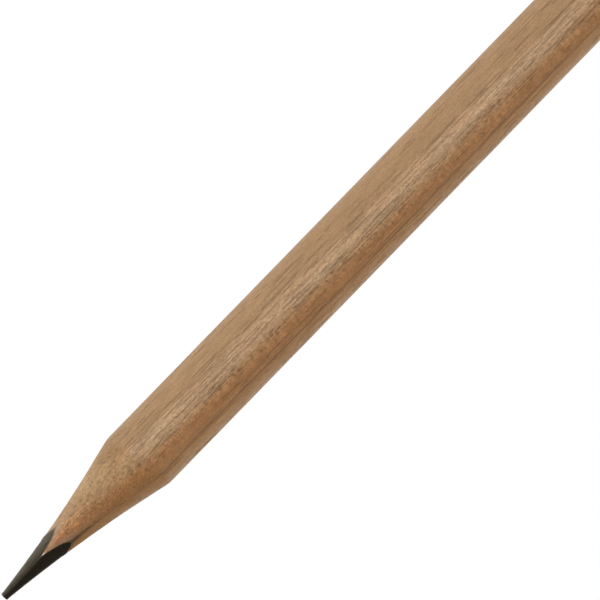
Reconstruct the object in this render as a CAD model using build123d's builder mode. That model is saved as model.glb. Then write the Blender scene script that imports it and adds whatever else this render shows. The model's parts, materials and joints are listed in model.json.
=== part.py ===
from build123d import *
import os

# A round wood-cased graphite pencil standing on its cut rear end, in millimetres.
#
# The barrel's axis is Z, the rear end lies on Z = 0 and the point is at the top.
#
# The casing is two grooved wood slats glued face to face, the front slat towards -Y and the back slat towards
# +Y, with a round graphite core in their half-round grooves.  The barrel was turned a little off the middle of
# that glued blank, so the core and the seam lie slightly off its axis.  The cured glue is modelled too: a thin
# film in the seam on each side of the core, and a thinner one between the core and each groove.  The point was
# ground last, so it cuts every piece together.  It is round at the shoulder, and towards the tip it has four
# flattened sides, which meet at four ridges.

# ---- Driving dimensions ----

length = 175.0  # rear end to tip, as a new pencil
barrel_diameter = 7.5

core_diameter = 2.8
core_x, core_y = 0.37, 0.22  # the core's centre; the seam lies in the plane Y = core_y

seam_thickness = 0.08  # glue between the two slats
bed_thickness = 0.04  # glue between the core and a groove

# The point's profile, seen square to a ridge
point_length = 18.95  # tip to the middle of the slanting shoulder
hollow_depth = 9.1  # distance below the tip at which the hollow of the point is set
hollow_diameter = 3.46  # the point's diameter there; a straight cone would be about 4.0
tip_diameter = 0.84  # blunt end of the graphite
tip_edge_break = 0.08
point_x = 0.22  # the point's own axis

# Its four flattened sides
flattening = 0.24  # how far a side's middle lies inside the ridges' circle, as a share of its radius
flats_fade_start = 8.9  # depths below the tip between which the sides fade out
flats_fade_end = 16.0
flats_turn = 3  # degrees from +X to the middle of the first side

rear_edge_break = 0.2  # chamfer round the cut rear end

# ---- Worked out from them ----

barrel_radius = barrel_diameter / 2
core_radius = core_diameter / 2
clearance = 1.0  # how far cutters reach past what they cut

os.makedirs("parts", exist_ok=True)


def save(piece, name):
    """Labels a finished piece and writes it as its own node."""
    piece.label = name
    export_step(piece, f"parts/{name}.step")


def core_outline(margin, mode):
    """Draws the core's cross-section, grown by a margin."""
    with Locations((core_x, core_y)):
        Circle(core_radius + margin, mode=mode)


def keep_slat_side(side):
    """Keeps only what lies clear of the seam's glue, towards -Y or +Y."""
    with Locations((0, core_y + side * (seam_thickness / 2 + barrel_radius + core_y))):
        Rectangle(barrel_diameter, barrel_diameter + 2 * core_y, mode=Mode.INTERSECT)


# ---- What grinding and trimming take off the glued blank ----


def side_radius(ridge_radius, depth):
    """How far a flattened side's middle lies from the point's axis, at a depth below the tip."""
    fade = (flats_fade_end - depth) / (flats_fade_end - flats_fade_start)
    return ridge_radius * (1 - flattening * min(max(fade, 0), 1))


def polar(radius, turn):
    """A point at a distance and a turn, in degrees, from +X."""
    return Vector(radius, 0).rotate(Axis.Z, turn)


# The ground point, as a solid that runs on until it is wider than the barrel.  Each cross-section is four arcs
# from ridge to ridge, which make a whole circle where the flattened sides have faded out.
with BuildLine(mode=Mode.PRIVATE):
    hollow = ThreePointArc(
        (tip_diameter / 2, 0),
        (hollow_diameter / 2, hollow_depth),
        (barrel_radius, point_length),
    )
stations = [hollow @ (step / 8) for step in range(9)]
stations.append(hollow @ 1 + (hollow % 1) * 2 * clearance)
run_out_height = length - stations[-1].Y

with BuildPart() as point:
    for station in stations:
        with BuildSketch(Plane((point_x, 0, length - station.Y))):
            with BuildLine():
                for turn in range(flats_turn, 360, 90):
                    start = polar(station.X, turn - 45)
                    middle = polar(side_radius(station.X, station.Y), turn)
                    ThreePointArc(start, middle, polar(station.X, turn + 45))
            make_face()
    loft()

# All that lies round the point.
with BuildPart() as grinding:
    with Locations((0, 0, run_out_height)):
        Cylinder(barrel_diameter, length - run_out_height, align=(Align.CENTER, Align.CENTER, Align.MIN))
    add(point.part, mode=Mode.SUBTRACT)

# A ring with a slanting inner side, which leaves a small chamfer round the rear end.
with BuildPart() as rear_trim:
    with BuildSketch(Plane.XZ):
        with BuildLine():
            reach = clearance + rear_edge_break
            Polyline(
                (barrel_radius + clearance, reach),
                (barrel_radius - reach, -clearance),
                (barrel_radius + clearance, -clearance),
                close=True,
            )
        make_face()
    revolve(axis=Axis.Z)


def extrude_and_shape():
    """Extrudes the section drawn so far to the pencil's length, then grinds the point and trims the rear."""
    extrude(amount=length)
    add(grinding.part, mode=Mode.SUBTRACT)
    add(rear_trim.part, mode=Mode.SUBTRACT)


# ---- Wood slats ----

for name, side in (("front_slat", -1), ("back_slat", 1)):
    with BuildPart() as slat:
        with BuildSketch():
            Circle(barrel_radius)
            keep_slat_side(side)
            core_outline(bed_thickness, Mode.SUBTRACT)
        extrude_and_shape()
    save(slat.part, name)

# ---- Graphite core ----

with BuildPart() as core:
    with BuildSketch():
        core_outline(0, Mode.ADD)
    extrude_and_shape()
    chamfer(core.faces().sort_by(Axis.Z)[-1].edges(), length=tip_edge_break)
save(core.part, "graphite_core")

# ---- Glue in the seam, on each side of the core ----

for name, side in (("left_seam_glue", -1), ("right_seam_glue", 1)):
    with BuildPart() as seam:
        with BuildSketch():
            Circle(barrel_radius)
            with Locations((core_x + side * barrel_diameter / 2, core_y)):
                Rectangle(barrel_diameter, seam_thickness, mode=Mode.INTERSECT)
            core_outline(0, Mode.SUBTRACT)
        extrude_and_shape()
    save(seam.part, name)

# ---- Glue bedding the core in each groove ----

for name, side in (("front_core_glue", -1), ("back_core_glue", 1)):
    with BuildPart() as bed:
        with BuildSketch():
            core_outline(bed_thickness, Mode.ADD)
            core_outline(0, Mode.SUBTRACT)
            keep_slat_side(side)
        extrude_and_shape()
    save(bed.part, name)
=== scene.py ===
import json
import math

import bmesh
import bpy
import numpy as np
from mathutils import Matrix, Vector


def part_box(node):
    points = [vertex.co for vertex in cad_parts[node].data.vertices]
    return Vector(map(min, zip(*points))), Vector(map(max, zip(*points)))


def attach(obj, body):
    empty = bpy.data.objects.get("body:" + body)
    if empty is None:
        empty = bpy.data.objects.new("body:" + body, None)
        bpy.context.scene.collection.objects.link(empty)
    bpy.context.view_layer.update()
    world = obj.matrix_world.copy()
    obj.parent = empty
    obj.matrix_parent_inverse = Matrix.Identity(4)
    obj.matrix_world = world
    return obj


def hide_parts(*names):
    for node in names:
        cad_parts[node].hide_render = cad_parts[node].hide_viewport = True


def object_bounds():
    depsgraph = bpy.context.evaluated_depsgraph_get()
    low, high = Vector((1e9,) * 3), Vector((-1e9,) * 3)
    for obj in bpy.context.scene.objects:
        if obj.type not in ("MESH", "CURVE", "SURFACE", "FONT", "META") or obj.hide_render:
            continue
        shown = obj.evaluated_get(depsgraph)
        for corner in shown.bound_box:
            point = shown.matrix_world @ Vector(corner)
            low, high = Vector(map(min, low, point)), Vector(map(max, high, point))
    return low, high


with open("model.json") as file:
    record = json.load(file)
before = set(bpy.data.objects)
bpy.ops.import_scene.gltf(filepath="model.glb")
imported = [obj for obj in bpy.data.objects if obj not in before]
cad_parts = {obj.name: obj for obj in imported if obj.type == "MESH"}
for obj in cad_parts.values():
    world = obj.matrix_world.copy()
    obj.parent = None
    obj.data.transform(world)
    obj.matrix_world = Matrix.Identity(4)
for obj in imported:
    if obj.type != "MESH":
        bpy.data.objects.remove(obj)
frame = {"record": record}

cad_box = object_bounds()

# ---------------------------------------------------------------------------------------------------------
# Sizes, in metres.  The pencil stands on its rear end: +Z runs up the barrel to the tip, and the glued seam
# is parallel to the XZ plane.  Depth means distance below the tip.  Angles are in the XY plane, from +X.
# ---------------------------------------------------------------------------------------------------------

mm = 0.001

length = cad_box[1].z - cad_box[0].z
barrel_radius = next(m["dims"]["r_mm"] for m in frame["record"]["mounts"] if m["name"] == "barrel") * mm
rear_edge_break = 0.2 * mm

core_low, core_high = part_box("graphite_core")
core_radius = (core_high.x - core_low.x) / 2
core_x = (core_high.x + core_low.x) / 2
core_y = (core_high.y + core_low.y) / 2
seam_y = core_y
half_seam = 0.04 * mm
bed_thickness = 0.04 * mm

# The point's profile, seen square to a ridge
tip_radius = 0.42 * mm
tip_edge_radius = 0.08 * mm
hollow_depth = 9.1 * mm
hollow_radius = 1.73 * mm
point_length = 18.95 * mm
profile_end = 1.2 * point_length  # deeper than this it is wider than the barrel, and isn't followed
point_x = 0.22 * mm  # the point's own axis

# Its four flattened sides
flattening = 0.24  # how far a side's middle lies inside the ridges' circle, as a share of its radius
flats_fade_start, flats_fade_end = 8.9 * mm, 16 * mm
flats_turn = math.radians(3)  # from +X to the middle of the first side
quarter = math.pi / 2  # from one side to the next

skin_inset = 0.003 * mm  # keeps the worn surfaces just inside the CAD model
seam_recess = 0.005 * mm  # the seam's glue has shrunk back from the barrel's surface

# Directions of the pieces from the axis
left, right = math.pi, 0.0
front, back = -math.pi / 2, math.pi / 2

# The front slat's growth rings
ring_angle = math.radians(102.4)  # the direction across them
ring_slope = 0.012  # how fast they drift across the barrel on the way up
ring_edge = 0.47 * mm  # where, across them, pale wood gives way to orange
fibre_lean = 0.004  # how far the wood's fibres stray sideways on the way up

smear_turn = math.radians(285 - 360)  # where the lead's dust is drawn out over the wood
smear_width = math.radians(9)

patch_turn = math.radians(221 - 360)  # a painted patch of light on the wood, just below its tongue
patch_width = math.radians(15)
patch_depth, patch_height = 2.5 * mm, 1.5 * mm  # below the wood's upper edge, and along the point

# Mesh grids: columns across a piece, rows down the point and rows down the barrel
slat_grid = 171, 131, 401
seam_grid = 5, 131, 401
bed_grid = 181, 6, 14
core_columns, core_cap_rows, core_point_rows = 240, 6, 170
lining_rows = 40  # rows of faces on each hidden inner surface, closest together near the point
sharp_angle = math.radians(35)  # faces that meet at less than this look smooth

# How many times a depth, an outline and a piece's skin are worked out again, each closer, until they settle
depth_steps, outline_steps, skin_steps = 60, 40, 12

random = np.random.default_rng(7)

# ---------------------------------------------------------------------------------------------------------
# Outlines.  The point was ground round an axis of its own, so every surface is given as its distance from
# that axis, its reach, in a direction round it.
# ---------------------------------------------------------------------------------------------------------


def circle_through(a, b, c):
    """Centre and radius of the circle through three points."""
    a, b, c = (complex(*p) for p in (a, b, c))
    w = (c - a) / (b - a)
    centre = a + (b - a) * (w - abs(w) ** 2) / (2j * w.imag)
    return centre.real, centre.imag, abs(a - centre)


hollow = circle_through((0, tip_radius), (hollow_depth, hollow_radius), (point_length, barrel_radius))
hollow_centre_depth, hollow_centre_reach, hollow_curve = hollow


def ridge_reach(depth):
    """Radius of the circle through the point's ridges, at a depth below the tip."""
    depth = np.minimum(depth, profile_end)
    return hollow_centre_reach - np.sqrt(hollow_curve**2 - (depth - hollow_centre_depth) ** 2)


def ridge_depth(reach):
    """Depth at which the circle through the point's ridges has a radius."""
    return hollow_centre_depth + np.sqrt(hollow_curve**2 - (hollow_centre_reach - reach) ** 2)


def flat_share(depth):
    """How flat the point's sides are, from 1 near the tip to 0 where they have faded out."""
    return np.clip((flats_fade_end - depth) / (flats_fade_end - flats_fade_start), 0, 1)


def flats(angle, depth):
    """The point's reach as a share of its ridges' circle.

    Four arcs run from ridge to ridge, and make the whole circle where the flattened sides have faded out.
    """
    middle = 1 - flattening * flat_share(depth)
    bulge = middle - math.sqrt(0.5)  # how far a side stands out from the straight line between two ridges
    arc = (0.5 + bulge**2) / (2 * bulge)  # its radius
    past_axis = arc - middle  # how far beyond the axis its centre lies
    from_middle = (angle - flats_turn + quarter / 2) % quarter - quarter / 2
    return np.sqrt(arc**2 - (past_axis * np.sin(from_middle)) ** 2) - past_axis * np.cos(from_middle)


def from_ridge(angle, reach):
    """How far round the point's surface the nearest ridge is."""
    return np.abs((angle - flats_turn) % quarter - quarter / 2) * reach


def point_reach(angle, depth):
    """Distance from the point's axis to its ground surface."""
    return ridge_reach(depth) * flats(angle, depth)


def point_depth(angle, reach):
    """Depth at which the ground surface lies at a reach."""
    depth = ridge_depth(reach)
    for _ in range(depth_steps):
        depth = ridge_depth(reach / flats(angle, depth))
    return depth


def round_reach(angle, radius, x, y):
    """Distance from the point's axis to a round surface whose centre is at x, y."""
    towards = (x - point_x) * np.cos(angle) + y * np.sin(angle)
    return towards + np.sqrt(radius**2 - (x - point_x) ** 2 - y**2 + towards**2)


def barrel_reach(angle):
    return round_reach(angle, barrel_radius - skin_inset, 0, 0)


def seam_glue_reach(angle):
    """The barrel's outline, less what the glue has shrunk."""
    return barrel_reach(angle) - seam_recess


def core_reach(angle):
    return round_reach(angle, core_radius, core_x, core_y)


def groove_reach(angle):
    return round_reach(angle, core_radius + bed_thickness, core_x, core_y)


def slat_turn(side):
    """Lines across a slat, from one face of the seam's glue to the other."""
    glued_face = half_seam + math.copysign(seam_y, side)
    return lambda across, reach: side + across * np.arccos(glued_face / reach)


def seam_turn(side):
    """Lines across the seam's glue, from one slat to the other."""
    along = math.cos(side)
    return lambda across, reach: side + along * np.arcsin((seam_y + across * half_seam) / reach)


# ---------------------------------------------------------------------------------------------------------
# Surface relief.  A relief function takes the points of a smooth surface, their depths and the depths of the
# shoulder.  It returns how far each point of the worn surface lies below the smooth one, and marks from 0 to
# 1 for the material, by name.
# ---------------------------------------------------------------------------------------------------------


def noise(x, y, z, seed):
    """Smooth random values from -1 to 1, with one lattice cell to a unit.

    Each corner of a cell has a value that comes from its place and the seed, by mixing their bits.
    """
    primes = 73856093, 19349663, 83492791
    whole = [np.floor(c).astype(np.int64) for c in (x, y, z)]
    part = [c - w for c, w in zip((x, y, z), whole)]
    part = [p * p * (3 - 2 * p) for p in part]
    total = 0.0
    for corner in np.ndindex(2, 2, 2):
        key = seed * 974711
        weight = 1.0
        for c, w, p, prime in zip(corner, whole, part, primes):
            key = key ^ ((w + c) * prime)
            weight = weight * (p if c else 1 - p)
        key = (key ^ (key >> 13)) * 1274126177 & 0x7FFFFFFF
        key = (key ^ (key >> 16)) & 0xFFFF
        total = total + weight * (key / 32767.5 - 1)
    return total


def grain_noise(x, y, z, across, along, seed):
    """Noise whose cells have one size across the barrel and another along it."""
    return noise(x / across, y / across, z / along, seed)


def along_noise(z, along, seed):
    """Noise that varies only along the barrel."""
    return noise(0 * z, 0 * z, z / along, seed)


def bell(distance, width, power=2):
    """1 where a distance is 0, falling off to about a third at a width."""
    return np.exp(-((distance / width) ** power))


def make_vessels():
    """The wood's larger vessels: thin tubes up the barrel.

    Each is a row of x, y, z, lean_x, lean_y, half_length, radius.  Only those that the barrel's surface or
    the point can cut open are made.  They crowd into the pale wood just outside the front slat's growth line.
    """
    at_surface, at_point = 9000, 6500
    kept_elsewhere = 0.22  # share of the vessels that stay, away from where they crowd
    reach = np.append(
        random.uniform(barrel_radius - 0.07 * mm, barrel_radius + 0.03 * mm, at_surface),
        barrel_radius * np.sqrt(random.uniform(0.05, 1, at_point)),
    )
    z = np.append(
        random.uniform(0, length - point_length, at_surface),
        random.uniform(length - 1.1 * point_length, length, at_point),
    )
    angle = random.uniform(0, 2 * math.pi, len(z))
    x, y = reach * np.cos(angle), reach * np.sin(angle)
    layer = x * math.cos(ring_angle) + y * math.sin(ring_angle) + ring_slope * z - ring_edge
    crowded = (layer > -1.9 * mm) & (layer < 0.3 * mm)
    kept = random.uniform(0, 1, len(z)) < np.where(crowded, 1.0, kept_elsewhere)
    lean = random.normal(0, fibre_lean, (2, len(z)))
    half_length = random.uniform(0.3, 2.0, len(z)) * mm
    radius = random.uniform(0.03, 0.06, len(z)) * mm
    return np.stack([x, y, z, *lean, half_length, radius], 1)[kept]


def open_vessels(x, y, z, vessels):
    """Depth of the vessels that a surface cuts open, at each point of its grid."""
    depth = np.zeros_like(x)
    surface_angle = np.arctan2(y, x)
    middle_row = surface_angle[len(x) // 2]
    order = np.argsort(middle_row)
    near = 4  # columns on each side of a vessel that it can reach
    for vx, vy, vz, lean_x, lean_y, half_length, radius in vessels:
        column = order[np.searchsorted(middle_row, math.atan2(vy, vx), sorter=order) % len(order)]
        columns = slice(max(column - near, 0), column + near + 1)
        rows = np.nonzero(np.abs(z[:, column] - vz) < half_length)[0]
        if not len(rows):
            continue
        rows = slice(rows[0], rows[-1] + 1)
        px, py, pz = x[rows, columns], y[rows, columns], z[rows, columns]
        reach = np.hypot(px, py)
        dx, dy = vx + lean_x * (pz - vz) - px, vy + lean_y * (pz - vz) - py
        inward = -(dx * px + dy * py) / reach
        sideways = (dx * py - dy * px) / reach
        room = radius**2 - sideways**2
        cut = (room > 0) & (inward**2 < room)
        pit = np.where(cut, inward + np.sqrt(np.maximum(room, 0)), 0)
        depth[rows, columns] = np.maximum(depth[rows, columns], pit)
    return depth


def from_seam(y):
    """Distance from the seam's glue."""
    return np.abs(y - seam_y) - half_seam


def smudge(x, y, z, below_lead):
    """How much graphite dust the point carries: close to the lead, and drawn out along the seam."""
    patch = grain_noise(x, y, z, 0.3 * mm, 0.5 * mm, seed=6)
    drawn_out = bell(np.arctan2(y, x - point_x) - smear_turn, smear_width)
    near_lead = np.exp(-below_lead / ((0.1 + 0.05 * patch + 0.3 * drawn_out) * mm))
    width = (0.26 * np.exp(-below_lead / (1.8 * mm)) + 0.1) * mm
    along_seam = 0.85 * bell(y - seam_y, width) * (x < 0)
    uneven = 0.75 + 0.25 * along_noise(z, 0.6 * mm, seed=9)
    return np.maximum(near_lead, along_seam * uneven * bell(below_lead, 3.0 * mm, power=4))


def film_relief(points, depth, shoulder):
    """A glue film is left smooth, and only carries graphite dust."""
    x, y, z = np.moveaxis(points, -1, 0)
    return 0 * depth, {"smudge": smudge(x, y, z, depth - depth[0])}


def slat_fall(x, y, z, depth, shoulder, pits):
    """Open vessels, the slight waves and fibres of sanded wood, and worn edges.

    The edges are those at the seam and the shoulder, and the point's ridges on the front slat.
    """
    waves = 0.004 * mm * (1 + grain_noise(x, y, z, 1.3 * mm, 9 * mm, seed=3))
    fibres = 0.003 * mm * (1 + grain_noise(x, y, z, 0.12 * mm, 2.5 * mm, seed=4))
    seam_edge = 0.01 * mm * np.exp(-from_seam(y) / (0.07 * mm))
    chips = 0.5 + 0.5 * grain_noise(x, y, z, 0.5 * mm, 0.5 * mm, seed=5)
    shoulder_edge = 0.03 * mm * chips * bell(depth - shoulder, 0.25 * mm)
    ridge = from_ridge(np.arctan2(y, x - point_x), np.hypot(x - point_x, y))
    ridge_wear = 0.05 * mm * bell(ridge, 0.14 * mm) * flat_share(depth) * (y < seam_y)
    return np.minimum(pits, 0.045 * mm) + waves + fibres + seam_edge + shoulder_edge + ridge_wear


def slat_marks(points, depth, shoulder):
    """Where a slat is ground, stained near the seam, darkened by painted shade, dusty, or lit by a painted
    glint, highlight or patch of light.
    """
    x, y, z = np.moveaxis(points, -1, 0)
    below_top = depth - depth[0]
    on_point = np.clip((shoulder - depth) / (0.5 * mm), 0, 1)

    uneven = 0.7 + 0.3 * along_noise(z, 1.5 * mm, seed=8)
    seam_stain = bell(from_seam(y), 0.13 * mm) * uneven * (1 - on_point)
    # Painted shade: the point is darkened round the left seam, near its upper edge
    painted_seam_shade = 0.6 * bell(from_seam(y), 0.7 * mm) * bell(below_top, 6 * mm) * on_point * (x < 0)

    # A painted glint at the tongue's tip, and a painted highlight that lightens the front slat near its upper
    # edge
    tongue_tip = points[0, np.argmax(z[0])]
    painted_highlight = bell(np.linalg.norm(points - tongue_tip, axis=-1), 0.36 * mm, power=4)
    painted_lightening = 0.14 * np.exp(-below_top / (1.7 * mm)) * np.clip((seam_y - y) / (0.7 * mm), 0, 1)

    around_patch = np.arctan2(y, x - point_x) - patch_turn
    return {
        "painted_highlight": np.maximum(painted_highlight, painted_lightening),
        "painted_light_patch": bell(around_patch, patch_width) * bell(below_top - patch_depth, patch_height),
        "smudge": smudge(x, y, z, below_top),
        "stain_and_painted_shade": seam_stain + painted_seam_shade,
        "ground": on_point,
    }


def slat_relief(vessels):
    """The relief of a bare sanded slat that cuts these vessels open; it fades out at the slat's two ends."""

    def relief(points, depth, shoulder):
        x, y, z = np.moveaxis(points, -1, 0)
        pits = open_vessels(x, y, z, vessels)
        fade = np.clip((depth - depth[0]) / (0.4 * mm), 0, 1) * np.clip((length - depth) / (0.3 * mm), 0, 1)
        marks = slat_marks(points, depth, shoulder)
        marks["pit"] = np.clip(pits / (0.03 * mm), 0, 1) * fade
        return slat_fall(x, y, z, depth, shoulder, pits) * fade, marks

    return relief


# ---------------------------------------------------------------------------------------------------------
# Meshes
# ---------------------------------------------------------------------------------------------------------


def make_object(name, points, faces):
    """A mesh object with outward normals and smooth faces, sharp only where it turns a real corner."""
    mesh = bpy.data.meshes.new(name)
    mesh.from_pydata(points.tolist(), [], faces)
    work = bmesh.new()
    work.from_mesh(mesh)
    bmesh.ops.recalc_face_normals(work, faces=work.faces)
    work.to_mesh(mesh)
    work.free()
    mesh.polygons.foreach_set("use_smooth", [True] * len(mesh.polygons))
    mesh.set_sharp_from_angle(angle=sharp_angle)
    piece = bpy.data.objects.new(name, mesh)
    bpy.context.scene.collection.objects.link(piece)
    return piece


def store(piece, name, values, hidden):
    """Keeps a mark for each vertex of the worn skin, for the material; the hidden vertices get 0."""
    attribute = piece.data.attributes.new(name, "FLOAT", "POINT")
    attribute.data.foreach_set("value", np.append(values.ravel(), np.zeros(hidden)).astype(np.float32))


def settle(outline, turn, across):
    """Solves for the reach at which each line across a piece meets an outline."""
    first_guess = 2 * mm
    reach = np.full_like(across, first_guess)
    for _ in range(outline_steps):
        reach = outline(turn(across, reach))
    return reach


def points_at(angle, reach, depth):
    """Points from directions and distances about the point's axis and depths below the tip."""
    x, y = point_x + reach * np.cos(angle), reach * np.sin(angle)
    return np.stack([x, y, cad_box[1].z - depth], -1)


def zip_chains(first, second, height):
    """Triangles between two chains of vertices that share their first and run down side by side."""
    faces = []
    i, j = 0, 0
    while i < len(first) - 1 or j < len(second) - 1:
        second_done = j == len(second) - 1
        take_first = second_done or (i < len(first) - 1 and height[first[i + 1]] >= height[second[j + 1]])
        triangle = (first[i], first[i + 1], second[j]) if take_first else (first[i], second[j + 1], second[j])
        i, j = (i + 1, j) if take_first else (i, j + 1)
        if len(set(triangle)) == 3:
            faces.append(triangle)
    return faces


def wrapped_faces(rows, skin_rows):
    """Faces of rows of points that wrap right round a piece, the last row meeting the first.

    The first skin_rows run down its outside, and the rest back up its inside.  One flat strip closes each
    side, where the columns end.
    """
    columns = rows.shape[1]
    number = np.arange(len(rows) * columns).reshape(len(rows), columns)
    below = np.roll(number, -1, axis=0)
    quads = np.stack([number[:, :-1], number[:, 1:], below[:, 1:], below[:, :-1]], -1)
    faces = quads.reshape(-1, 4).tolist()
    height = rows[..., 2].ravel().tolist()
    for side in (0, -1):
        outside = number[:skin_rows, side].tolist()
        inside = outside[:1] + number[skin_rows:, side][::-1].tolist()
        faces += zip_chains(outside, inside, height)
    return faces


def smooth_skin(turn, across, outer_reach, top, shoulder, point_rows, barrel_rows):
    """Depths and reaches of the rows down the outside of a piece, as it was before any wear."""
    chamfer = length - rear_edge_break
    down_point = np.linspace(0, 1, point_rows)[:, None]
    down_barrel = np.linspace(0, 1, barrel_rows)[1:, None]
    depth = np.concatenate([
        top + (shoulder - top) * down_point,
        shoulder + (chamfer - shoulder) * down_barrel,
        np.full((1, len(across)), length),
    ])
    reach = outer_reach + 0 * depth
    for _ in range(skin_steps):
        reach = np.minimum(point_reach(turn(across, reach), depth), outer_reach)
    reach[-1] = np.minimum(outer_reach, barrel_reach(turn(across, outer_reach)) - rear_edge_break)
    return depth, reach


def ground_solid(name, turn, inner, outer, grid, relief):
    """A piece that runs the pencil's length between two outlines, cut at the top by the ground point.

    Its rows start where the point meets the inner outline, run down the point and then down the outer
    outline to the rear end, and return up the inner outline.
    """
    columns, point_rows, barrel_rows = grid
    across = np.linspace(-1, 1, columns)
    inner_reach, outer_reach = settle(inner, turn, across), settle(outer, turn, across)
    top = point_depth(turn(across, inner_reach), inner_reach)
    shoulder = point_depth(turn(across, outer_reach), outer_reach)

    depth, reach = smooth_skin(turn, across, outer_reach, top, shoulder, point_rows, barrel_rows)
    fall, marks = relief(points_at(turn(across, reach), reach, depth), depth, shoulder)
    reach = reach - fall
    skin = points_at(turn(across, reach), reach, depth)

    up_inside = np.linspace(1, 0, lining_rows)[:-1, None] ** 2
    lining_depth = top + (length - top) * up_inside
    lining_reach = inner_reach + 0 * lining_depth
    lining = points_at(turn(across, lining_reach), lining_reach, lining_depth)

    rows = np.concatenate([skin, lining])
    piece = make_object(name, rows.reshape(-1, 3), wrapped_faces(rows, len(skin)))
    for mark, values in marks.items():
        store(piece, mark, values, len(lining) * columns)
    return piece


def core_skin(angle, side, top):
    """Depths and reaches of the core's rows: its blunt tip, the tip's rounded edge, the point and the rod."""
    outwards = np.linspace(0, 1, core_cap_rows)[1:, None]
    swing = np.linspace(0, math.pi / 2, core_cap_rows)[1:, None]
    down_point = np.linspace(0, 1, core_point_rows)[1:, None]
    down_rod = np.linspace(0, 1, lining_rows)[1:, None] ** 2

    tip_section = flats(angle, 0.0)
    cap = (tip_radius - tip_edge_radius) * tip_section * outwards
    edge = (tip_radius + tip_edge_radius * (np.sin(swing) - 1)) * tip_section
    edge_depth = tip_edge_radius * (1 - np.cos(swing)) + 0 * angle
    point_depths = tip_edge_radius + (top - tip_edge_radius) * down_point
    rod_depths = top + (length - top) * down_rod

    depth = np.concatenate([0 * cap, edge_depth, point_depths, rod_depths])
    reach = np.concatenate([cap, edge, point_reach(angle, point_depths), side + 0 * rod_depths])
    return depth, reach


def rod_faces(rows, columns):
    """Faces of a closed rod: rows round it, then a vertex in the middle of each end."""
    number = np.arange(rows * columns).reshape(rows, columns)
    following = np.roll(number, -1, axis=1)
    faces = np.stack([number[:-1], following[:-1], following[1:], number[1:]], -1).reshape(-1, 4).tolist()
    tip_vertex, rear_vertex = number.size, number.size + 1
    faces += [(tip_vertex, b, a) for a, b in zip(number[0].tolist(), following[0].tolist())]
    faces += [(rear_vertex, a, b) for a, b in zip(number[-1].tolist(), following[-1].tolist())]
    return faces


def make_core(name):
    """The graphite core: a blunt ground tip with a scratched surface, then the round rod down to the rear."""
    angle = np.linspace(-math.pi, math.pi, core_columns, endpoint=False)
    side = core_reach(angle)
    top = point_depth(angle, side)
    depth, reach = core_skin(angle, side, top)

    x, y, z = np.moveaxis(points_at(angle, reach, depth), -1, 0)
    fade = np.clip(depth / (0.3 * mm), 0, 1) * np.clip((top - depth) / (0.3 * mm), 0, 1)
    ridge = from_ridge(angle, reach)
    ridge_wear = 0.028 * mm * bell(ridge, 0.09 * mm)
    grit = 0.0025 * mm * (1 + grain_noise(x, y, z, 0.07 * mm, 0.12 * mm, seed=12))
    crumbs = 0.05 * mm * np.maximum(grain_noise(x, y, z, 0.22 * mm, 0.3 * mm, seed=11) - 0.45, 0)
    skin = points_at(angle, reach - (ridge_wear + grit - crumbs) * fade, depth)

    centres = points_at(np.zeros(2), np.zeros(2), np.array([0.0, length]))
    points = np.concatenate([skin.reshape(-1, 3), centres])
    piece = make_object(name, points, rod_faces(len(skin), core_columns))
    # The ridge mark paints a highlight along the core's ridges
    store(piece, "ridge", bell(ridge, 0.12 * mm) * fade, len(centres))
    return piece


# ---------------------------------------------------------------------------------------------------------
# Materials
# ---------------------------------------------------------------------------------------------------------


def tone(red, green, blue):
    """A linear colour from display values of 0 to 255."""
    values = [c / 255 for c in (red, green, blue)]
    return tuple(v / 12.92 if v <= 0.04045 else ((v + 0.055) / 1.055) ** 2.4 for v in values) + (1.0,)


graphite_dust = tone(42, 31, 20)


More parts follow.
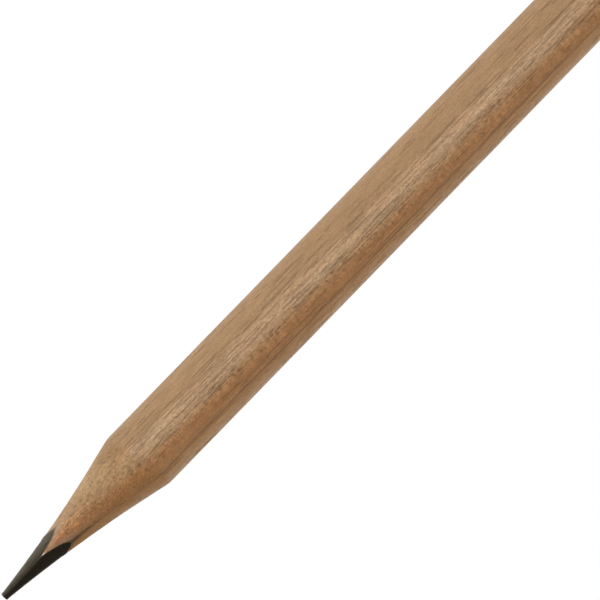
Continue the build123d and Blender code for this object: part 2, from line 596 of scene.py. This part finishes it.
class Recipe:
    """One material's nodes.  Most methods add nodes and return the output that the next one reads."""

    def __init__(self, name):
        self.material = bpy.data.materials.new(name)
        self.material.use_nodes = True
        self.tree = self.material.node_tree
        self.tree.nodes.clear()

    def add(self, kind, inputs, **options):
        """Adds a node; inputs maps a socket's name or number to a value or to another node's output."""
        node = self.tree.nodes.new("ShaderNode" + kind)
        for option, value in options.items():
            setattr(node, option, value)
        for socket, value in inputs.items():
            if isinstance(value, bpy.types.NodeSocket):
                self.tree.links.new(value, node.inputs[socket])
            else:
                node.inputs[socket].default_value = value
        return node

    def maths(self, operation, a, b=0.0, c=0.0):
        return self.add("Math", {0: a, 1: b, 2: c}, operation=operation).outputs[0]

    def place(self):
        """The surface's place in the pencil, in millimetres."""
        coordinates = self.add("TexCoord", {}).outputs["Object"]
        return self.add("VectorMath", {0: coordinates, 3: 1 / mm}, operation="SCALE").outputs[0]

    def along(self, vector, direction):
        """How far a point lies along a direction."""
        return self.add("VectorMath", {0: vector, 1: direction}, operation="DOT_PRODUCT").outputs["Value"]

    def stretch(self, vector, factors):
        return self.add("VectorMath", {0: vector, 1: factors}, operation="MULTIPLY").outputs[0]

    def noise(self, vector, detail, roughness=0.5):
        inputs = {"Vector": vector, "Scale": 1.0, "Detail": detail, "Roughness": roughness}
        return self.add("TexNoise", inputs).outputs["Fac"]

    def cells(self, vector):
        """Distance to the nearest of many scattered points."""
        return self.add("TexVoronoi", {"Vector": vector, "Scale": 1.0}).outputs["Distance"]

    def rise(self, value, low, high, start=0.0, end=1.0):
        """Goes smoothly from start to end as a value goes from low to high."""
        inputs = {"Value": value, "From Min": low, "From Max": high, "To Min": start, "To Max": end}
        return self.add("MapRange", inputs, interpolation_type="SMOOTHSTEP").outputs[0]

    def between(self, value, rising, falling, below=0.0, above=0.0):
        """Goes from below to 1 as a value crosses one range, and on from 1 to above as it crosses another."""
        up = self.rise(value, *rising, below, 1.0)
        down = self.rise(value, *falling, 1.0, above)
        return self.maths("MULTIPLY", up, down)

    def mix(self, factor, a, b):
        return self.add("Mix", {0: factor, 6: a, 7: b}, data_type="RGBA").outputs[2]

    def multiply(self, colour, factors):
        inputs = {0: 1.0, 6: colour, 7: factors}
        return self.add("Mix", inputs, data_type="RGBA", blend_type="MULTIPLY").outputs[2]

    def shade(self, colour, light):
        """Scales a colour's brightness; as in real wood, what is darker is also browner."""
        parts = {0: light, 1: self.maths("POWER", light, 1.12), 2: self.maths("POWER", light, 1.3)}
        return self.multiply(colour, self.add("CombineXYZ", parts).outputs[0])

    def tint(self, colour, factors, share):
        """Multiplies a colour by another, fully where a share is 1 and not at all where it is 0."""
        return self.mix(share, colour, self.multiply(colour, (*factors, 1.0)))

    def vary(self, light, texture, amount, zone):
        """Varies a brightness around itself by a texture, by an amount, within a zone of the wood."""
        swing = self.rise(texture, 0.3, 0.7, -1.0, 1.0)
        part = self.maths("MULTIPLY", swing, zone)
        return self.maths("MULTIPLY", light, self.maths("MULTIPLY_ADD", part, amount, 1.0))

    def bands(self, value, stops):
        """A colour that changes with a value, through a list of (value, colour) stops."""
        low, high = stops[0][0], stops[-1][0]
        spread = self.add("MapRange", {"Value": value, "From Min": low, "From Max": high}).outputs[0]
        node = self.add("ValToRGB", {0: spread})
        elements = node.color_ramp.elements
        for position, colour in stops[1:-1]:
            elements.new((position - low) / (high - low)).color = colour
        elements[0].color, elements[-1].color = stops[0][1], stops[-1][1]
        return node.outputs[0]

    def mark(self, name):
        """A mark that the mesh keeps for each of its vertices."""
        return self.add("Attribute", {}, attribute_name=name).outputs["Fac"]

    def output(self, surface):
        """Sends a shader node to the material's output, and returns the finished material."""
        self.tree.links.new(surface.outputs[0], self.add("OutputMaterial", {}).inputs["Surface"])
        return self.material

    def finish(self, colour, roughness, height, bump_depth, settings):
        """The surface itself: bump_depth is how high, in metres, a height of 1 stands."""
        bump = self.add("Bump", {"Height": height, "Distance": bump_depth, "Strength": 1.0}).outputs[0]
        inputs = {"Base Color": colour, "Roughness": roughness, "Normal": bump}
        return self.output(self.add("BsdfPrincipled", {**inputs, **settings}))


# Wood.  Its figure is laid out in a block whose axes run across the growth rings, along them and up the
# barrel, in millimetres.  A texture's stretch is how many of its cells fit in a millimetre of each axis.
# The layer is the distance across the rings from the edge of one of them, and wanders as real rings do.


def ring_layer(r, block, from_edge):
    drift = r.noise(r.stretch(block, (0.5, 0.35, 0.05)), detail=3.0)
    ragged = r.noise(r.stretch(block, (3.0, 3.0, 0.8)), detail=2.0)
    drift = r.maths("MULTIPLY_ADD", drift, 0.9, -0.45)
    ragged = r.maths("MULTIPLY_ADD", ragged, 0.5, -0.25)
    return r.maths("ADD", from_edge, r.maths("ADD", drift, ragged))


def grain_light(r, block, layer, ground, pale, warm):
    """The wood's brightness: textures from long strands to fine pores, each strongest in its own zone."""
    figured = r.between(layer, (-2.3, -1.4), (1.0, 1.8), below=0.75, above=0.75)
    streaked = r.maths("MULTIPLY_ADD", pale, -0.45, figured)
    porous = r.maths("MULTIPLY_ADD", ground, r.rise(layer, -0.6, 0.6, -0.35, 0.7), figured)

    # The stretch, detail, amount and zone of each texture
    strands = (6.5, 6.0, 0.22), 4.0, 0.08, streaked
    fibres = (11.0, 10.0, 0.6), 3.0, 0.10, streaked
    pores = (8.0, 8.0, 3.5), 3.0, 0.15, porous
    mottle = (4.0, 4.0, 2.6), 3.0, 0.15, pale
    flecks = (1.1, 5.0, 2.2), 3.0, 0.15, warm
    clouds = (1.2, 1.2, 0.3), 2.0, 0.07, figured

    light = 1.0
    for stretch, detail, amount, zone in (strands, fibres, pores, mottle, flecks, clouds):
        texture = r.noise(r.stretch(block, stretch), detail=detail, roughness=0.6)
        light = r.vary(light, texture, amount, zone)
    return light


def patchy(r, colour, block, ground, pale):
    """Makes ground wood redder, in places more so, and parts of the pale wood greyer."""
    blotches = r.rise(r.noise(r.stretch(block, (0.55, 0.55, 0.3)), detail=1.0), 0.5, 0.68)
    greyed = r.rise(r.noise(r.stretch(block, (1.0, 1.0, 0.11)), detail=1.0), 0.46, 0.62)
    colour = r.tint(colour, (0.93, 0.9, 0.79), ground)
    colour = r.tint(colour, (1.0, 0.93, 0.88), r.maths("MULTIPLY", blotches, ground))
    return r.tint(colour, (0.93, 0.99, 1.03), r.maths("MULTIPLY", greyed, pale))


def dark_marks(r, block, layer, warm):
    """How dark open vessels, long lines, specks and short cross marks make each place, from 0 to 1."""
    lines = r.rise(r.noise(r.stretch(block, (8.5, 8.0, 0.4)), detail=2.0, roughness=0.6), 0.55, 0.68)
    lined = r.between(layer, (-2.2, -1.5), (-1.1, -0.2), below=0.25, above=0.3)

    specks = r.rise(r.cells(r.stretch(block, (1.7, 1.7, 1.1))), 0.14, 0.44, 1.0, 0.0)
    clusters = r.rise(r.noise(r.stretch(block, (0.7, 0.7, 0.3)), detail=2.0), 0.36, 0.54)
    speckled = r.maths("MULTIPLY", r.between(layer, (-0.5, -0.05), (0.4, 0.85)), clusters)

    crosses = r.rise(r.noise(r.stretch(block, (0.9, 3.4, 2.6)), detail=1.0), 0.66, 0.74)

    dark = r.maths("MULTIPLY", r.mark("pit"), 0.38)
    for texture, zone, amount in ((lines, lined, 0.27), (specks, speckled, 0.52), (crosses, warm, 0.45)):
        shown = r.maths("MULTIPLY", r.maths("MULTIPLY", texture, zone), amount)
        dark = r.maths("MAXIMUM", dark, shown)
    return dark


def wood(name, angle, slope, edge, bands):
    """Bare open-pored wood, solid through the slat.

    angle is the direction across the growth rings, slope how fast they drift up the barrel, and edge where
    one of them ends.  bands gives the colour by the distance from that edge, in millimetres.
    """
    r = Recipe(name)
    place = r.place()
    ring = r.along(place, (math.cos(angle), math.sin(angle), slope))
    flat = r.along(place, (-math.sin(angle), math.cos(angle), fibre_lean))
    block = r.add("CombineXYZ", {0: ring, 1: flat, 2: r.along(place, (0, 0, 1))}).outputs[0]
    layer = ring_layer(r, block, r.maths("SUBTRACT", ring, edge / mm))

    ground = r.mark("ground")
    pale = r.between(layer, (-1.7, -0.9), (0.0, 0.4))
    warm = r.between(layer, (-0.2, 0.2), (0.9, 1.6), above=0.3)
    light = grain_light(r, block, layer, ground, pale, warm)
    dark = dark_marks(r, block, layer, warm)

    colour = r.shade(r.bands(layer, bands), light)
    colour = patchy(r, colour, block, ground, pale)
    colour = r.mix(dark, colour, r.mix(warm, tone(92, 68, 46), tone(106, 60, 32)))
    # Painted light: the patch just below the tongue is brightened, standing in for light on the shaded side
    # of the ridge
    colour = r.tint(colour, (1.38, 1.24, 1.12), r.mark("painted_light_patch"))
    # A real glue stain along the seam on the barrel, and painted shade round the left seam on the point
    colour = r.mix(r.maths("MULTIPLY", r.mark("stain_and_painted_shade"), 0.34), colour, tone(98, 66, 42))
    colour = r.mix(r.maths("MULTIPLY", r.mark("smudge"), 0.9), colour, graphite_dust)
    # Painted glint and painted highlight: near-white mixed in at the tongue's tip and, faintly, near the
    # front slat's upper edge
    colour = r.mix(r.mark("painted_highlight"), colour, tone(252, 246, 236))

    height = r.maths("SUBTRACT", light, dark)
    roughness = r.rise(light, 0.7, 1.3, 0.68, 0.55)
    return r.finish(colour, roughness, height, 0.02 * mm, {"Sheen Weight": 0.06, "Sheen Roughness": 0.4})


def graphite(name):
    """Fired graphite and clay: dark, with a dull metal gloss and fine turning scratches."""
    r = Recipe(name)
    place = r.place()
    grit = r.noise(r.stretch(place, (9.0, 9.0, 9.0)), detail=4.0, roughness=0.7)
    turned = r.noise(r.stretch(place, (1.5, 1.5, 22.0)), detail=3.0, roughness=0.6)
    colour = r.mix(r.rise(grit, 0.35, 0.7), tone(18, 15, 10), tone(32, 27, 19))
    # Painted highlight: a lighter grey along the ridges
    colour = r.mix(r.mark("ridge"), colour, tone(56, 54, 46))
    roughness = r.rise(turned, 0.3, 0.7, 0.26, 0.38)
    height = r.maths("MULTIPLY_ADD", turned, 0.5, grit)
    return r.finish(colour, roughness, height, 0.003 * mm, {"Specular Tint": tone(255, 230, 192)})


def glue(name):
    """Cured wood glue, brown with handling."""
    r = Recipe(name)
    place = r.place()
    patch = r.noise(r.stretch(place, (3.0, 3.0, 0.4)), detail=3.0)
    colour = r.mix(r.rise(patch, 0.3, 0.7), tone(140, 102, 67), tone(164, 124, 84))
    colour = r.mix(r.mark("smudge"), colour, graphite_dust)
    return r.finish(colour, 0.5, patch, 0.01 * mm, {})


# ---------------------------------------------------------------------------------------------------------
# The pencil
# ---------------------------------------------------------------------------------------------------------


def dress(piece, material, node):
    """Gives a piece its material, and its place in the model as the look of one CAD node."""
    piece.data.materials.append(material)
    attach(piece, "root")
    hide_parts(node)


# Colours by the distance across the rings from a ring's edge, in millimetres
front_bands = [
    (-2.6, tone(174, 135, 94)),
    (-1.8, tone(176, 138, 97)),
    (-1.5, tone(195, 155, 114)),
    (-0.9, tone(202, 163, 123)),
    (-0.25, tone(190, 150, 109)),
    (0.1, tone(188, 142, 97)),
    (0.8, tone(180, 127, 78)),
    (1.6, tone(178, 125, 76)),
    (2.6, tone(176, 128, 81)),
]
back_bands = [
    (-2.0, tone(181, 132, 80)),
    (0.0, tone(185, 137, 86)),
    (2.0, tone(179, 131, 78)),
]
front_wood = wood("front_slat_wood", ring_angle, ring_slope, ring_edge, front_bands)
back_wood = wood("back_slat_wood", math.radians(80), -0.004, 2.5 * mm, back_bands)
graphite_material = graphite("graphite")
glue_material = glue("glue")

sanded = slat_relief(make_vessels())
for name, side, material in (("front", front, front_wood), ("back", back, back_wood)):
    piece_name = f"{name}_slat_wood_grain"
    slat = ground_solid(piece_name, slat_turn(side), groove_reach, barrel_reach, slat_grid, sanded)
    dress(slat, material, f"{name}_slat")

dress(make_core("graphite_core_ground"), graphite_material, "graphite_core")

for name, side in (("left", left), ("right", right)):
    piece_name = f"{name}_seam_glue_film"
    film = ground_solid(piece_name, seam_turn(side), core_reach, seam_glue_reach, seam_grid, film_relief)
    dress(film, glue_material, f"{name}_seam_glue")

for name, side in (("front", front), ("back", back)):
    piece_name = f"{name}_core_glue_film"
    bed = ground_solid(piece_name, slat_turn(side), core_reach, groove_reach, bed_grid, film_relief)
    dress(bed, glue_material, f"{name}_core_glue")

# ---------------------------------------------------------------------------------------------------------
# Camera, light and floor
# ---------------------------------------------------------------------------------------------------------

camera_turn = left + math.radians(39.7)  # round the barrel, past the left seam
picture_tilt = math.radians(45.8)  # the barrel's slant in the picture
picture_width = 59.52 * mm
aim_depth = 41.62 * mm  # from the tip down to the picture's middle
aim_across = 0.36 * mm  # from the barrel's axis out to the picture's middle
lens, sensor = 200.0, 36.0

towards_camera = Vector((math.cos(camera_turn), math.sin(camera_turn), 0))
across_barrel = towards_camera.cross(Vector((0, 0, 1)))
down_barrel = Vector((0, 0, -1))


def make_camera():
    """A long lens square to the barrel, rolled so that the tip points to the lower left."""
    to_right = down_barrel * math.cos(picture_tilt) + across_barrel * math.sin(picture_tilt)
    upwards = down_barrel * math.sin(picture_tilt) - across_barrel * math.cos(picture_tilt)
    facing = Matrix((to_right, upwards, towards_camera)).transposed().to_4x4()
    aim = Vector((0, 0, cad_box[1].z)) + down_barrel * aim_depth + across_barrel * aim_across
    distance = picture_width * lens / sensor
    data = bpy.data.cameras.new("camera")
    data.lens, data.sensor_width = lens, sensor
    data.clip_start, data.clip_end = 0.01, 20
    camera = bpy.data.objects.new("camera", data)
    camera.matrix_world = Matrix.Translation(aim + towards_camera * distance) @ facing
    bpy.context.scene.collection.objects.link(camera)
    bpy.context.scene.camera = camera


def make_softbox(name, to_left, height, distance, width, tall, radiance, colour=(1, 1, 1)):
    """A soft rectangular light facing the pencil's upper half, to_left degrees round it from the camera."""
    data = bpy.data.lights.new(name, "AREA")
    data.shape, data.size, data.size_y = "RECTANGLE", width, tall
    data.energy = radiance * math.pi * width * tall
    data.color = colour
    turn = camera_turn + math.radians(to_left)
    place = Vector((distance * math.cos(turn), distance * math.sin(turn), height))
    lit_part = Vector((0, 0, length * 0.75))
    facing = (place - lit_part).to_track_quat("Z", "Y").to_matrix().to_4x4()
    light = bpy.data.objects.new(name, data)
    light.matrix_world = Matrix.Translation(place) @ facing
    bpy.context.scene.collection.objects.link(light)


def make_world(fill):
    """White where the camera looks past everything, and an even fill of light from all round."""
    world = bpy.data.worlds.new("studio")
    world.use_nodes = True
    nodes, links = world.node_tree.nodes, world.node_tree.links
    background = nodes["Background"]
    background.inputs["Color"].default_value = (1, 1, 1, 1)
    seen = nodes.new("ShaderNodeLightPath")
    strength = nodes.new("ShaderNodeMapRange")
    strength.inputs["To Min"].default_value = fill
    strength.inputs["To Max"].default_value = 1.0
    links.new(seen.outputs["Is Camera Ray"], strength.inputs["Value"])
    links.new(strength.outputs[0], background.inputs["Strength"])
    bpy.context.scene.world = world


def make_floor(radius):
    """A plain pale round floor under the pencil."""
    mesh = bpy.data.meshes.new("floor")
    work = bmesh.new()
    bmesh.ops.create_circle(work, cap_ends=True, segments=128, radius=radius)
    work.to_mesh(mesh)
    work.free()
    floor = bpy.data.objects.new("floor", mesh)
    floor.location.z = cad_box[0].z
    bpy.context.scene.collection.objects.link(floor)
    r = Recipe("floor")
    paint = {"Base Color": (0.85, 0.85, 0.85, 1), "Roughness": 0.9}
    glow = {"Emission Color": (1, 1, 1, 1), "Emission Strength": 0.35}
    mesh.materials.append(r.output(r.add("BsdfPrincipled", {**paint, **glow})))


make_camera()
make_world(fill=0.2)
make_softbox("key", to_left=43, height=0.15, distance=0.6, width=0.75, tall=0.7, radiance=1.2)
make_softbox(
    "left_rim", to_left=122, height=0.2, distance=0.6, width=0.5, tall=0.7,
    radiance=1.45, colour=(1.0, 0.96, 0.86),
)
make_softbox(
    "right_rim", to_left=-131, height=0.0, distance=0.6, width=0.85, tall=0.7,
    radiance=1.6, colour=(1.0, 0.99, 0.96),
)
make_softbox("top", to_left=10, height=0.75, distance=0.4, width=0.8, tall=0.6, radiance=1.1)
make_floor(radius=0.6)

view = bpy.context.scene.view_settings
view.view_transform, view.look = "Standard", "None"
